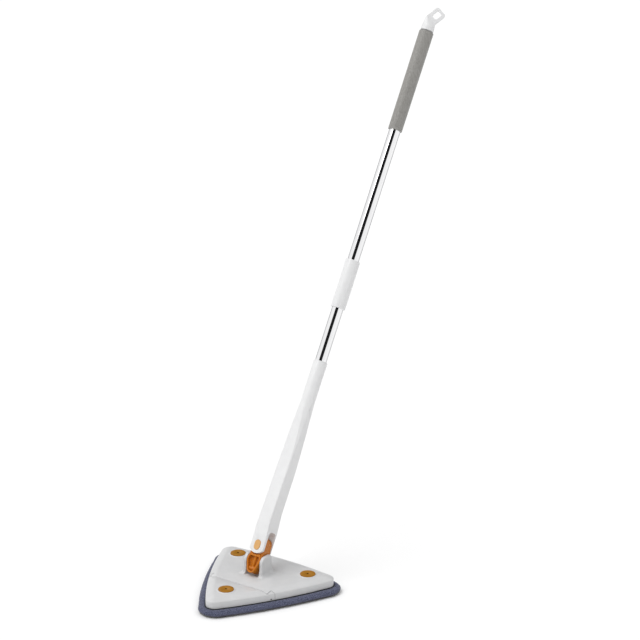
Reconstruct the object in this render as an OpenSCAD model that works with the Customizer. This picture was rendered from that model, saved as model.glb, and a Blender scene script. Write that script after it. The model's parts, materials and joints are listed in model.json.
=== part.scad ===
// Triangular flat floor mop: a three-cornered head with a fold-down tip flap, a two-way
// tilting joint, a sliding lower sleeve on a tube pole, a soft grip and a hanging loop.
// Millimetres. Z is up, the pad's underside is Z = 0, the head's middle is X = Y = 0 and
// the flap's tip points to -Y. The pole leans towards +Y.

/* [Head] */
// Distance from the head's middle to the middle of each side
plate_side = 101; // [88:1:125]
// Radius of the bowed sides
side_bow = 920; // [450:10:1400]
// Corner radius seen from above
plate_corner = 20; // [18:1:30]
// Height of the upright side wall
wall_h = 13; // [11:0.2:20]
// Rise of the crown above the side wall
crown_h = 7; // [4:0.1:9]
// Wall thickness of the two covers
shell_t = 2.5; // [2:0.1:3]
// Thickness of the base plates under the covers
base_t = 2.5; // [2:0.1:3.4]

/* [Pad] */
// Thickness of the pad
pad_t = 15; // [12:0.5:22]
// How far the pad reaches past the covers
pad_out = 14; // [6:1:20]
// Thickness of the hook tape between the pad and the base plates
tape_t = 1.2; // [0.8:0.1:2]

/* [Flap] */
// Distance from the head's middle to the seam of the tip flap
seam_y = 65; // [54:1:70]
// Distance from the seam back to the hinge pins
hinge_back = 6.5; // [6:0.5:8]
// Height of the hinge pins above the covers' lower edge
hinge_up = 2.0; // [2:0.1:3]
// Radius of the hinge pins
hinge_pin_r = 1.8; // [1:0.1:1.8]
// Length of each hinge pin
hinge_pin_len = 11; // [8:0.5:12]
// Distance from the middle to the inner face of each hinge lug
lug_x = 77; // [60:1:78]
// Fold angle that the pad's notch leaves room for
fold_room = 84; // [60:1:90]

/* [Discs] */
// Distance from the head's middle to the disc on the tip
tip_disc_place = 107; // [94:0.5:112]
// Distance from the head's middle to each of the other two discs
side_disc_place = 109; // [94:0.5:112]
// Radius of the discs
disc_r = 16.5; // [12:0.5:18]
// Thickness of the discs
disc_t = 3.0; // [2:0.1:4]
// Width of the raised rim round each disc
rim_w = 2.5; // [1.5:0.1:4]

/* [Tilting joint] */
// Height of the fore-and-aft pin above the floor
pivot_h = 65; // [63:0.5:76]
// Radius of the ears' round front corners
ear_r = 14; // [10:0.5:15]
// Distance from the pin back to the rear edge of the ears
ear_back = 21; // [16:0.5:24]
// Thickness of each ear
ear_t = 7.4; // [6:0.2:10]
// Clear width between the two ears
ear_gap = 35.2; // [32:0.2:40]
// Radius of the two joint pins
joint_pin_r = 2.5; // [2:0.1:3]
// Radial running clearance of the pins in the yoke
run_gap = 0.05; // [0.02:0.01:0.09]
// Distance from the fore-and-aft pin up to the side-tilt pin
pin_step = 36; // [34:0.5:44]
// Radius of the yoke's tongue round the side-tilt pin
tongue_r = 15; // [9:0.5:16]
// Depth of the yoke's lower body from front to back
hub_d = 26; // [20:1:27]
// Distance from the fore-and-aft pin down to the yoke's lowest point
hub_drop = 29.0; // [24:0.5:30]

/* [Lower sleeve] */
// Lean of the pole from upright, towards +Y
pole_lean = 31.3; // [0:0.1:50]
// Width of the sleeve's nose
nose_w = 35; // [33:0.5:38]
// Depth of the sleeve's nose at the button
nose_d = 33; // [33:0.5:36]
// How far the sleeve swells forward above the button
swell = 4.5; // [0:0.5:7]
// How far the nose swells backward round its side openings
heel = 3; // [0:0.5:5]
// Radius of the nose's round lower end about the side-tilt pin
nose_r = 22; // [18:0.5:23]
// Thickness of the nose's front wall, which holds the button
front_wall = 6.8; // [6.4:0.1:7.5]
// Thickness of the nose's back wall
back_wall = 2.5; // [2:0.1:3.5]
// Height of the side openings above the side-tilt pin
slot_up = 29; // [27:0.5:36]
// Width of the sleeve's square middle
waist_w = 31.2; // [31.2:0.2:33]
// Height of the sleeve's top above the fore-and-aft pin
sleeve_top = 446; // [380:1:520]
// Wall of the sleeve's round top outside its guide bore
sleeve_wall = 2.0; // [1.6:0.1:3]

/* [Button] */
// Width of the oval button
button_w = 15; // [12:0.5:17]
// Height of the oval button
button_h = 22; // [18:0.5:24]
// Thickness of the button
button_t = 3.0; // [2:0.1:3]
// How far the button stands out of the nose
button_proud = 1.0; // [0.5:0.1:1.5]
// Depth of the button's pocket
button_pocket = 4.5; // [4.2:0.1:4.6]

/* [Pole] */
// Outer radius of the steel tubes
tube_r = 12.5; // [11:0.1:14]
// Wall of the steel tubes
tube_wall = 0.8; // [0.6:0.1:1.2]
// Length of bare lower tube between the sleeve and the connector
low_bare = 121; // [110:1:200]
// Length of lower tube inside the sleeve
low_inside = 190; // [150:1:240]
// Length of the connector
conn_len = 109; // [90:1:140]
// Wall of the connector outside the tubes
conn_wall = 3.7; // [2.5:0.1:5]
// Length of bare upper tube between the connector and the grip
up_bare = 301; // [200:1:420]
// Length of the grip
grip_len = 230; // [150:1:260]
// Wall of the grip at its lower end
grip_wall = 3.1; // [2:0.1:5]
// Extra wall of the grip at its upper end
grip_flare = 0.6; // [0:0.1:1.5]

/* [Hanging loop] */
// Turn of the loop about the pole
hanger_turn = 32; // [0:1:180]
// Bend of the loop away from the pole
hanger_bend = 33; // [0:1:45]
// Radius of the loop's neck
neck_r = 14.8; // [12:0.1:16]
// Height of the neck below the bend
neck_h = 23; // [18:1:30]
// Length of the loop past the bend
loop_len = 34; // [28:1:44]
// Width of the loop
loop_w = 27.5; // [22:0.5:30]
// Thickness of the loop
loop_t = 9; // [7:0.5:12]
// Length of the hole in the loop
hole_len = 18.5; // [13:0.5:20]
// Width of the hole in the loop
hole_w = 12.5; // [9:0.5:14]

/* [Hidden] */
big = 1000;              // larger than the whole mop
sliver = 0.01;           // thickness of a slice that a blended shape starts or ends on
side_steps = 10;         // points along each bowed side
corner_steps = 12;       // points round each corner
fine = 96;               // roundness of turned shapes

plate_z = pad_t + tape_t;                  // lower edge of the covers
crown_z = plate_z + wall_h;                // where the crown starts
top_z = crown_z + crown_h;                 // flat top of the crown
seam_gap = 0.8;                            // gap between the main cover and the flap
hinge_y = -(seam_y - hinge_back);
hinge_z = plate_z + hinge_up;
lug_gap = 0.9;                             // room round each hinge lug
lug_back = hinge_y + hinge_back;           // rear face of the lugs
tape_in = 6;                               // the tape's margin inside the covers
fit_gap = 0.15;                            // slip fit of pieces that are screwed together
screw_r = 1.5;
screw_head_r = 3.2;
screw_head_t = 1.6;
post_r = 5;                                // screw posts inside the covers
disc_z = top_z + 0.2;                      // seat of the discs
rim_h = 1.2;                               // rim above the crown
disc_places = [[149, side_disc_place], [31, side_disc_place], [-90, tip_disc_place]];
sweep_gap = 1.0;                           // room for the yoke's swing in the main cover
well_r = sqrt(pow(hub_drop, 2) + pow(hub_d / 2, 2)) + sweep_gap;
washer_t = (ear_gap - hub_w()) / 2;
pin_half = ear_gap / 2 + ear_t - 2;        // the pin ends inside the ears
function hub_w() = ear_gap - 1.2;          // width of the yoke between its washers
chin_gap = 3.0;                            // gap under the nose's front and back walls
slot_gap = 0.3;                            // side play of the tongue in the nose
slot_y0 = -nose_d / 2 + front_wall;        // front face of the nose's opening
slot_y1 = nose_d / 2 + heel - back_wall;          // back face of the nose's opening
slot_top = pin_step + slot_up;
bore_floor = slot_top + 5;                 // floor of the guide bore above the opening
guide_r = tube_r + 1.0;                    // guide bore in the sleeve
sleeve_r = guide_r + sleeve_wall;          // the sleeve's round top
square_w = max(waist_w, 2 * sleeve_r + 0.2);
corner_cut = 1.45;                         // how much the sleeve's corners are rounded off
nose_z0 = pin_step - nose_r - 1;           // just below the nose
swell_z0 = slot_top + 22;                  // the front stands out most here
swell_z1 = 240;                            // the swelling has died out here
waist_z0 = slot_top + 42;                  // the back has drawn in to the waist here
waist_z1 = 190;                            // straight from here up to the round top
round_z = 354;                             // the sleeve is round from here up
bush_len = 34;
bush_lip = 1.5;
ring_t = 3;                                // friction ring inside the bush
tube_z0 = sleeve_top - low_inside;         // lower end of the lower tube
conn_z0 = sleeve_top + bush_lip + low_bare;
conn_z1 = conn_z0 + conn_len;
mid_web = 6;                               // flange of the core between the two tubes
grip_z0 = conn_z1 + up_bare;
grip_z1 = grip_z0 + grip_len;
tube_z1 = grip_z1 - 2;                     // upper end of the upper tube
plug_t = 4;                                // lid of the end plug
plug_depth = 30;
swivel_gap = 0.4;                          // face gap under the swivelling loop
hanger_z = grip_z1 + plug_t - 2 + swivel_gap;
shoulder_r = 3;                            // shoulder screw of the swivel
shoulder_up = 14;
button_z = pin_step - 4;                   // middle of the button above the lower pin
spring_r = 3.2;
spring_wire = 0.4;

// Points on an arc, its end point left to the next stretch
function arc(c, r, a0, a1, n) =
    [for (i = [0:n - 1]) let (a = a0 + (a1 - a0) * i / n) c + r * [cos(a), sin(a)]];

// Outline of a bowed triangle with round corners and a tip at -Y
function tri_points(side, bow, corner) =
    let (cd = bow - side)
    let (v = sqrt(pow(bow - corner, 2) - pow(cd * cos(30), 2)) - cd * sin(30))
    let (d = atan2(cd * sin(60), v + cd * cos(60)))
    [for (t = [-90, 30, 150])
        each concat(arc(v * [cos(t), sin(t)], corner, t - d, t + d, corner_steps),
                    arc(-cd * [cos(t + 60), sin(t + 60)], bow, t + d, t + 120 - d, side_steps))];

// The covers' outline, moved in by k all round, or out where k is negative
function plate_points(k) = tri_points(plate_side - k, side_bow - k, max(plate_corner - k, 2));

// A rounded rectangle's outline
function slab_points(w, d, r) =
    concat(arc([w / 2 - r, d / 2 - r], r, 0, 90, 8), [[w / 2 - r, d / 2]],
           arc([r - w / 2, d / 2 - r], r, 90, 180, 8), [[-w / 2, d / 2 - r]],
           arc([r - w / 2, r - d / 2], r, 180, 270, 8), [[r - w / 2, -d / 2]],
           arc([w / 2 - r, r - d / 2], r, 270, 360, 8), [[w / 2, r - d / 2]]);

// Places its children in the pole's frame: origin on the fore-and-aft pin, Z up the pole
module on_pole() { translate([0, 0, pivot_h]) rotate([-pole_lean, 0, 0]) children(); }

// Extrudes an outline drawn in Y and Z along X
module along_x(x0, x1) {
    translate([x0, 0, 0]) rotate([90, 0, 90]) linear_extrude(x1 - x0) children();
}

// Extrudes an outline drawn in X and Z along Y
module along_y(y0, y1) {
    translate([0, y1, 0]) rotate([90, 0, 0]) linear_extrude(y1 - y0) children();
}

module box(lo, hi) { translate(lo) cube(hi - lo); }

module tube(r_out, r_in, z0, z1) {
    difference() {
        translate([0, 0, z0]) cylinder(r = r_out, h = z1 - z0, $fn = fine);
        translate([0, 0, z0 - 1]) cylinder(r = r_in, h = z1 - z0 + 2, $fn = fine);
    }
}

// ---- head ----

module at_disc(i) {
    rotate([0, 0, disc_places[i][0]]) translate([disc_places[i][1], 0, 0]) children();
}

// The covers' full outer shape: an upright wall with a soft crown, moved in by k
module head_block(k, z0, drop) {
    translate([0, 0, z0]) linear_extrude(crown_z - drop - z0) polygon(plate_points(k));
    hull() {
        for (s = [[0, 0], [1, 0.3], [9, 0.7], [19, 1]])
            translate([0, 0, crown_z - drop - sliver + s[1] * crown_h])
                linear_extrude(sliver) polygon(plate_points(k + s[0]));
    }
}

// Everything behind the seam, moved back by k, or before it when front is true
module half_space(front, k) {
    if (front) box([-big, -big, -big], [big, -seam_y - k, big]);
    else box([-big, -seam_y + k, -big], [big, big, big]);
}

// The stretch of side wall that belongs to the flap's hinge lugs, grown by g
module lug_zone(g) {
    for (s = [-1, 1]) {
        x0 = s > 0 ? lug_x - g : -big;
        x1 = s > 0 ? big : g - lug_x;
        box([x0, -seam_y - 2 * seam_gap, plate_z - 1], [x1, lug_back + g, big]);
    }
}

module hinge_bores(r) {
    translate([-big, hinge_y, hinge_z]) rotate([0, 90, 0]) cylinder(r = r, h = 2 * big, $fn = fine);
}

module post(h0) {
    translate([0, 0, h0]) cylinder(r = post_r, h = disc_z - h0, $fn = fine);
}

module rim(top) {
    translate([0, 0, crown_z]) cylinder(r = disc_r + fit_gap + rim_w, h = top - crown_z, $fn = fine);
}

module ear_outline() {
    back_r = 8;
    top = pivot_h + ear_r;
    polygon(concat(arc([ear_back - back_r, top - back_r], back_r, 0, 90, 18),
                   arc([0, pivot_h], ear_r, 90, 180, 24), [[-ear_r, pivot_h]],
                   [[-ear_r - 3, crown_z], [ear_back + 2, crown_z], [ear_back, pivot_h - 6]]));
}

module ears() {
    for (s = [0, 1]) mirror([s, 0, 0]) {
        along_x(ear_gap / 2, ear_gap / 2 + ear_t) ear_outline();
        hull() {
            along_x(ear_gap / 2 + ear_t - 1, ear_gap / 2 + ear_t)
                polygon([[1 - ear_r, crown_z], [ear_back - 1, crown_z], [ear_back - 4, pivot_h - 8],
                         [4 - ear_r, pivot_h - 8]]);
            box([ear_gap / 2 + ear_t, -ear_r, crown_z],
                [ear_gap / 2 + ear_t + 9, ear_back, crown_z + 4]);
        }
    }
}

module main_cover() {
    color("whitesmoke") difference() {
        union() {
            difference() {
                intersection() {
                    head_block(0, plate_z, 0);
                    half_space(false, 0);
                }
                intersection() {
                    head_block(shell_t, plate_z - 1, shell_t);
                    half_space(false, shell_t);
                }
            }
            for (i = [0, 1]) at_disc(i) {
                post(plate_z + base_t);
                rim(top_z + rim_h);
            }
            box([-ear_gap / 2 - 3, -19, pivot_h - well_r - shell_t],
                [ear_gap / 2 + 3, 19, top_z - 1]);
            ears();
            for (s = [-1, 1])
                box([s * (lug_x - lug_gap - 6.5) - 6.5, -seam_y, plate_z],
                    [s * (lug_x - lug_gap - 6.5) + 6.5, lug_back + lug_gap + shell_t, hinge_z + 6]);
            intersection() {
                head_block(0, plate_z, 0);
                half_space(false, 0);
                lug_zone(lug_gap + shell_t);
            }
        }
        lug_zone(lug_gap);
        hinge_bores(hinge_pin_r);
        translate([-ear_gap / 2 - fit_gap, 0, pivot_h]) rotate([0, 90, 0])
            cylinder(r = well_r, h = ear_gap + 2 * fit_gap, $fn = fine);
        translate([-pin_half, 0, pivot_h]) rotate([0, 90, 0])
            cylinder(r = joint_pin_r, h = 2 * pin_half, $fn = fine);
        for (i = [0, 1]) at_disc(i) disc_seat();
    }
}

// The round seat and the two holes that each disc and its screw need
module disc_seat() {
    translate([0, 0, disc_z]) cylinder(r = disc_r + fit_gap, h = big, $fn = fine);
    translate([0, 0, disc_z - 6]) cylinder(r = 2.5, h = 7, $fn = fine);
    translate([0, 0, plate_z]) cylinder(r = screw_r, h = 11, $fn = fine);
}

module base_plate(front) {
    difference() {
        intersection() {
            translate([0, 0, plate_z]) linear_extrude(base_t) polygon(plate_points(shell_t + fit_gap));
            half_space(front, shell_t + fit_gap + (front ? seam_gap : 0));
        }
        for (i = front ? [2] : [0, 1]) at_disc(i) screw_hole();
        if (front) lug_zone(lug_gap);
        else {
            lug_zone(lug_gap + shell_t + fit_gap);
            box([-big, -seam_y, plate_z - 1], [big, lug_back + lug_gap + shell_t + fit_gap, big]);
        }
    }
}

module screw_hole() {
    translate([0, 0, plate_z - 1]) cylinder(r = screw_r, h = base_t + 2, $fn = fine);
    translate([0, 0, plate_z - 1]) cylinder(r = screw_head_r, h = 1 + screw_head_t, $fn = fine);
}

module screw() {
    translate([0, 0, plate_z]) cylinder(r = screw_head_r, h = screw_head_t, $fn = fine);
    translate([0, 0, plate_z]) cylinder(r = screw_r, h = 10, $fn = fine);
}

module disc() {
    color("goldenrod") difference() {
        union() {
            translate([0, 0, disc_z]) cylinder(r = disc_r, h = disc_t - 0.8, $fn = fine);
            translate([0, 0, disc_z + disc_t - 0.8])
                cylinder(r1 = disc_r, r2 = disc_r - 0.8, h = 0.8, $fn = fine);
            translate([0, 0, disc_z - 5]) cylinder(r = 2.5, h = 6, $fn = fine);
        }
        translate([0, 0, disc_z + disc_t - 1.2]) cylinder(r = 4.2, h = 2, $fn = fine);
        translate([0, 0, disc_z - 2]) cylinder(r = 1.6, h = 10, $fn = fine);
    }
}

module main_base() { color("gainsboro") base_plate(false); }
module flap_base() { color("gainsboro") base_plate(true); }
module base_screws() { color("silver") for (i = [0, 1]) at_disc(i) screw(); }
module flap_screw() { color("silver") at_disc(2) screw(); }
module disc_left() { at_disc(0) disc(); }
module disc_right() { at_disc(1) disc(); }
module disc_tip() { at_disc(2) disc(); }

module flap_cover() {
    color("whitesmoke") difference() {
        union() {
            difference() {
                intersection() {
                    head_block(0, plate_z, 0);
                    half_space(true, seam_gap);
                }
                intersection() {
                    head_block(shell_t, plate_z - 1, shell_t);
                    half_space(true, seam_gap + shell_t);
                }
            }
            at_disc(2) {
                post(plate_z + base_t);
                rim(top_z + rim_h);
            }
            intersection() {
                translate([0, 0, plate_z]) linear_extrude(wall_h) polygon(plate_points(0));
                box([-big, -seam_y - seam_gap - shell_t, -big], [big, lug_back, big]);
                lug_zone(0);
            }
        }
        hinge_bores(hinge_pin_r + run_gap);
        at_disc(2) disc_seat();
    }
}

module flap_hinge_pins() {
    color("dimgray") for (s = [-1, 1])
        translate([s * (lug_x - 1) - hinge_pin_len / 2, hinge_y, hinge_z]) rotate([0, 90, 0])
            cylinder(r = hinge_pin_r, h = hinge_pin_len, $fn = fine);
}

// ---- soft pad and its tape ----

// Room under the hinge for the fold: a wedge with its point on the hinge pins
module fold_wedge() {
    half = hinge_z * tan(fold_room / 2);
    along_x(-big, big) polygon([[hinge_y, hinge_z], [hinge_y - half * 1.1, -0.1 * hinge_z],
                                [hinge_y + half * 1.1, -0.1 * hinge_z]]);
    box([-big, hinge_y - hinge_back - 1, pad_t - 2.5], [big, hinge_y + hinge_back, big]);
}

module pad_block(front) {
    difference() {
        linear_extrude(pad_t) polygon(plate_points(-pad_out));
        fold_wedge();
        if (front) box([-big, hinge_y, -1], [big, big, big]);
        else box([-big, -big, -1], [big, hinge_y, big]);
    }
}

module tape_block(front) {
    difference() {
        translate([0, 0, pad_t]) linear_extrude(tape_t) polygon(plate_points(tape_in));
        if (front) box([-big, -seam_y - tape_in, -1], [big, big, big]);
        else box([-big, -big, -1], [big, lug_back + tape_in, big]);
    }
}

module pad_main() { color("slategray") pad_block(false); }
module pad_tip() { color("slategray") pad_block(true); }
module main_tape() { color("black") tape_block(false); }
module flap_tape() { color("black") tape_block(true); }

// ---- tilting joint ----

module ear_pin() {
    color("silver") translate([-pin_half, 0, pivot_h]) rotate([0, 90, 0])
        cylinder(r = joint_pin_r, h = 2 * pin_half, $fn = fine);
}

module ear_washers() {
    color("dimgray") for (s = [0, 1]) mirror([s, 0, 0]) difference() {
        translate([ear_gap / 2 - washer_t + run_gap, 0, pivot_h]) rotate([0, 90, 0])
            cylinder(r = joint_pin_r + 3, h = washer_t - run_gap, $fn = fine);
        translate([0, 0, pivot_h]) rotate([0, 90, 0]) cylinder(r = joint_pin_r, h = big, $fn = fine);
    }
}

// Front outline of the yoke's lower body: an egg with its small end down
hub_top_r = hub_w() / 2;
hub_low_r = 11;
hub_low_z = -(hub_drop - hub_low_r);
hub_tan = asin((hub_low_r - hub_top_r) / -hub_low_z);

module hub_outline(k) {
    polygon(concat(arc([0, 0], hub_top_r - k, hub_tan, 180 - hub_tan, 40),
                   arc([0, hub_low_z], hub_low_r - k, 180 - hub_tan, 360 + hub_tan, 40)));
}

module pocket(side) {
    rim_t = 3.6;
    web = joint_pin_r + 2.2;
    y0 = side < 0 ? -big : web;
    y1 = side < 0 ? -web : big;
    difference() {
        intersection() {
            along_y(y0, y1) hub_outline(rim_t);
            box([-big, -big, hub_low_z - hub_low_r], [big, big, pin_step - nose_r - chin_gap - rim_t]);
        }
        translate([0, side * (web + 1), hub_low_z]) cylinder(r = 3.6, h = big, $fn = fine);
        translate([-9, side * web, hub_low_z - 1]) rotate([0, 90, 0]) cylinder(r = 5, h = 18, $fn = fine);
    }
}

module yoke() {
    color("darkorange") on_pole() difference() {
        union() {
            along_y(-hub_d / 2, hub_d / 2) hub_outline(0);
            along_y(slot_y0 + slot_gap, slot_y1 - slot_gap)
                polygon(concat(arc([0, pin_step], tongue_r, 0, 180, 36), [[-tongue_r, pin_step]],
                               [[-hub_top_r, 4], [hub_top_r, 4]]));
        }
        for (y = [[-big, slot_y0 + slot_gap], [slot_y1 - slot_gap, big]])
            translate([0, y[1], pin_step]) rotate([90, 0, 0])
                cylinder(r = nose_r + chin_gap, h = y[1] - y[0], $fn = fine);
        for (side = [-1, 1]) pocket(side);
        rotate([0, 90, 0]) cylinder(r = joint_pin_r + run_gap, h = big, center = true, $fn = fine);
        translate([0, 0, pin_step]) rotate([90, 0, 0])
            cylinder(r = joint_pin_r + run_gap, h = big, center = true, $fn = fine);
    }
}

module nose_pin() {
    y0 = -nose_d / 2 + button_pocket + 0.1;
    color("silver") on_pole() translate([0, nose_d / 2 - 0.1, pin_step]) rotate([90, 0, 0])
        cylinder(r = joint_pin_r, h = nose_d / 2 - 0.1 - y0, $fn = fine);
}

// ---- lower sleeve ----

// Front outline of the square sleeve: a tapered nose, then straight
module sleeve_front() {
    half = square_w / 2;
    nose = max(nose_w / 2, half);
    polygon([[-nose, nose_z0], [nose, nose_z0], [half, waist_z0], [half, sleeve_top + 1],
             [-half, sleeve_top + 1], [-half, waist_z0]]);
}

// Side outline: it swells forward above the button and backward round the side openings
module sleeve_side() {
    half = square_w / 2;
    front = -nose_d / 2;
    back = nose_d / 2 + heel;
    polygon([[front, nose_z0], [back, nose_z0], [back, slot_top], [half - 0.6, waist_z0],
             [half, waist_z1], [half, sleeve_top + 1], [-half, sleeve_top + 1], [-half, swell_z1],
             [front - swell, swell_z0], [front, pin_step]]);
}

// A square sleeve whose corners are rounded by a turned shape that narrows to the round top
module sleeve_block() {
    half = square_w / 2;
    low_r = norm([nose_w / 2, nose_d / 2 + heel]) - corner_cut;
    swell_r = norm([nose_w / 2 - 0.6, nose_d / 2 + swell]) - corner_cut;
    mid_r = norm([half, half]) - corner_cut;
    intersection() {
        along_y(-big, big) sleeve_front();
        along_x(-big, big) sleeve_side();
        rotate_extrude($fn = fine)
            polygon([[0, nose_z0], [low_r, nose_z0], [swell_r, swell_z0], [mid_r, swell_z1],
                     [sleeve_r, round_z], [sleeve_r, sleeve_top], [0, sleeve_top]]);
    }
}

module oval(w, h, n) {
    polygon(concat(arc([0, (h - w) / 2], w / 2, 0, 180, n), [[-w / 2, (h - w) / 2]],
                   arc([0, (w - h) / 2], w / 2, 180, 360, n), [[w / 2, (w - h) / 2]]));
}

module lower_sleeve() {
    slot_r = 9;
    color("whitesmoke") on_pole() difference() {
        intersection() {
            sleeve_block();
            union() {
                translate([0, big / 2, pin_step]) rotate([90, 0, 0])
                    cylinder(r = nose_r, h = big, $fn = fine);
                box([-big, -big, pin_step], [big, big, big]);
            }
        }
        along_x(-big, big)
            polygon(concat(arc([slot_y1 - slot_r, slot_top - slot_r], slot_r, 0, 90, 18),
                           arc([slot_y0 + slot_r, slot_top - slot_r], slot_r, 90, 180, 18),
                           [[slot_y0, slot_top - slot_r], [slot_y0, 0], [slot_y1, 0]]));
        translate([0, 0, bore_floor]) cylinder(r = guide_r, h = big, $fn = fine);
        translate([0, 0, button_z]) along_y(-big, -nose_d / 2 + button_pocket)
            oval(button_w + 2 * fit_gap, button_h + 2 * fit_gap, 24);
        translate([0, big, pin_step]) rotate([90, 0, 0])
            cylinder(r = joint_pin_r, h = big + nose_d / 2 - button_pocket, $fn = fine);
    }
}

module guide_bush() {
    color("white") on_pole() difference() {
        union() {
            tube(guide_r, tube_r + run_gap, sleeve_top - bush_len, sleeve_top);
            tube(sleeve_r - 0.5, tube_r + run_gap, sleeve_top, sleeve_top + bush_lip);
        }
        translate([0, 0, sleeve_top - bush_len / 2])
            cylinder(r = tube_r + 0.7, h = ring_t, $fn = fine);
    }
}

module friction_ring() {
    color("black") on_pole()
        tube(tube_r + 0.7, tube_r + run_gap, sleeve_top - bush_len / 2, sleeve_top - bush_len / 2 + ring_t);
}

module release_button() {
    y0 = -nose_d / 2 - button_proud;
    color("orange") on_pole() translate([0, 0, button_z]) union() {
        along_y(y0, y0 + 0.7) oval(button_w - 1.2, button_h - 1.2, 24);
        along_y(y0 + 0.7, y0 + button_t) oval(button_w, button_h, 24);
    }
}

module button_spring() {
    y0 = -nose_d / 2 - button_proud + button_t;
    y1 = -nose_d / 2 + button_pocket;
    turns = 3;
    pitch = (y1 - y0 - 2 * spring_wire) / turns;
    color("silver") on_pole() translate([0, y1 - spring_wire, button_z]) rotate([90, 0, 0])
        for (i = [0:turns])
            translate([0, 0, i * pitch]) rotate_extrude($fn = 48)
                translate([spring_r, 0]) circle(r = spring_wire, $fn = 16);
}

// ---- tube pole ----

module lower_tube() {
    color("silver") on_pole()
        tube(tube_r, tube_r - tube_wall, tube_z0, conn_z0 + (conn_len - mid_web) / 2);
}

module tube_foot() {
    color("white") on_pole() {
        translate([0, 0, tube_z0 - 12]) cylinder(r = guide_r - run_gap, h = 12, $fn = fine);
        translate([0, 0, tube_z0 - 1]) cylinder(r = tube_r - tube_wall, h = 19, $fn = fine);
    }
}

module connector() {
    color("whitesmoke") on_pole() difference() {
        union() {
            translate([0, 0, conn_z0 + 1.5])
                cylinder(r = tube_r + conn_wall, h = conn_len - 3, $fn = fine);
            translate([0, 0, conn_z0])
                cylinder(r1 = tube_r + conn_wall - 1.5, r2 = tube_r + conn_wall, h = 1.5, $fn = fine);
            translate([0, 0, conn_z1 - 1.5])
                cylinder(r1 = tube_r + conn_wall, r2 = tube_r + conn_wall - 1.5, h = 1.5, $fn = fine);
        }
        translate([0, 0, conn_z0 - 1]) cylinder(r = tube_r, h = conn_len + 2, $fn = fine);
    }
}

module coupling_core() {
    mid = (conn_z0 + conn_z1) / 2;
    reach = conn_len / 2 - 12;
    color("gainsboro") on_pole() {
        translate([0, 0, mid - reach]) cylinder(r = tube_r - tube_wall, h = 2 * reach, $fn = fine);
        translate([0, 0, mid - mid_web / 2]) cylinder(r = tube_r, h = mid_web, $fn = fine);
    }
}

module upper_tube() {
    color("silver") on_pole()
        tube(tube_r, tube_r - tube_wall, conn_z1 - (conn_len - mid_web) / 2, tube_z1);
}

module grip() {
    r0 = tube_r + grip_wall;
    r1 = r0 + grip_flare;
    color("darkgray") on_pole() difference() {
        union() {
            translate([0, 0, grip_z0]) cylinder(r1 = r0 - 1.2, r2 = r0, h = 1.2, $fn = fine);
            translate([0, 0, grip_z0 + 1.2]) cylinder(r1 = r0, r2 = r1, h = grip_len - 2.4, $fn = fine);
            translate([0, 0, grip_z1 - 1.2]) cylinder(r1 = r1, r2 = r1 - 1.2, h = 1.2, $fn = fine);
        }
        translate([0, 0, grip_z0 - 1]) cylinder(r = tube_r, h = grip_len + 2, $fn = fine);
    }
}

module end_plug() {
    color("white") on_pole() difference() {
        union() {
            translate([0, 0, tube_z1]) cylinder(r = tube_r, h = plug_t, $fn = fine);
            translate([0, 0, tube_z1 - plug_depth])
                cylinder(r = tube_r - tube_wall, h = plug_depth + 1, $fn = fine);
        }
        translate([0, 0, tube_z1 - plug_depth - 1]) cylinder(r = 7, h = plug_depth - 3, $fn = fine);
        cylinder(r = shoulder_r + run_gap, h = 2 * big, $fn = fine);
    }
}

// ---- hanging loop ----

module bent() {
    translate([0, 0, hanger_z + neck_h]) rotate([0, hanger_bend, 0]) children();
}

// Outline of the loop, drawn across the pole and along the bent arm
module loop_outline() {
    r = 5;
    w = loop_w / 2;
    polygon(concat(arc([w - r, loop_len - r], r, 0, 90, 8), [[w - r, loop_len]],
                   arc([r - w, loop_len - r], r, 90, 180, 8), [[-w, loop_len - r]],
                   [[-w, 2], [w, 2]]));
}

module hanger() {
    hole_z = loop_len - 4.8 - hole_len / 2;
    color("whitesmoke") on_pole() rotate([0, 0, hanger_turn]) difference() {
        union() {
            translate([0, 0, hanger_z]) cylinder(r = neck_r, h = neck_h * 0.4, $fn = fine);
            hull() {
                translate([0, 0, hanger_z + neck_h * 0.4]) cylinder(r = neck_r, h = sliver, $fn = 48);
                bent() along_y(-loop_t / 2 - 1, loop_t / 2 + 1)
                    polygon([[-loop_w / 2, 0], [loop_w / 2, 0], [loop_w / 2, 3], [-loop_w / 2, 3]]);
            }
            bent() along_y(-loop_t / 2, loop_t / 2) loop_outline();
        }
        bent() translate([0, 0, hole_z]) along_y(-big, big)
            polygon(slab_points(hole_w, hole_len, 3));
        translate([0, 0, hanger_z - 1]) cylinder(r = shoulder_r, h = shoulder_up + 1, $fn = fine);
    }
}

module hanger_screw() {
    z0 = tube_z1 - 4 - swivel_gap;
    color("silver") on_pole() {
        translate([0, 0, z0 - 3]) cylinder(r = 5.5, h = 3, $fn = fine);
        translate([0, 0, z0 - 1]) cylinder(r = shoulder_r, h = hanger_z + shoulder_up - z0 - 1, $fn = fine);
    }
}

main_cover();
main_base();
base_screws();
disc_left();
disc_right();
flap_cover();
flap_base();
flap_screw();
disc_tip();
flap_hinge_pins();
main_tape();
flap_tape();
pad_main();
pad_tip();
ear_pin();
ear_washers();
yoke();
nose_pin();
lower_sleeve();
guide_bush();
friction_ring();
release_button();
button_spring();
lower_tube();
tube_foot();
connector();
coupling_core();
upper_tube();
grip();
end_plug();
hanger();
hanger_screw();
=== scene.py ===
import json
import math

import bmesh
import bpy
from mathutils import Matrix, Vector


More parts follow.
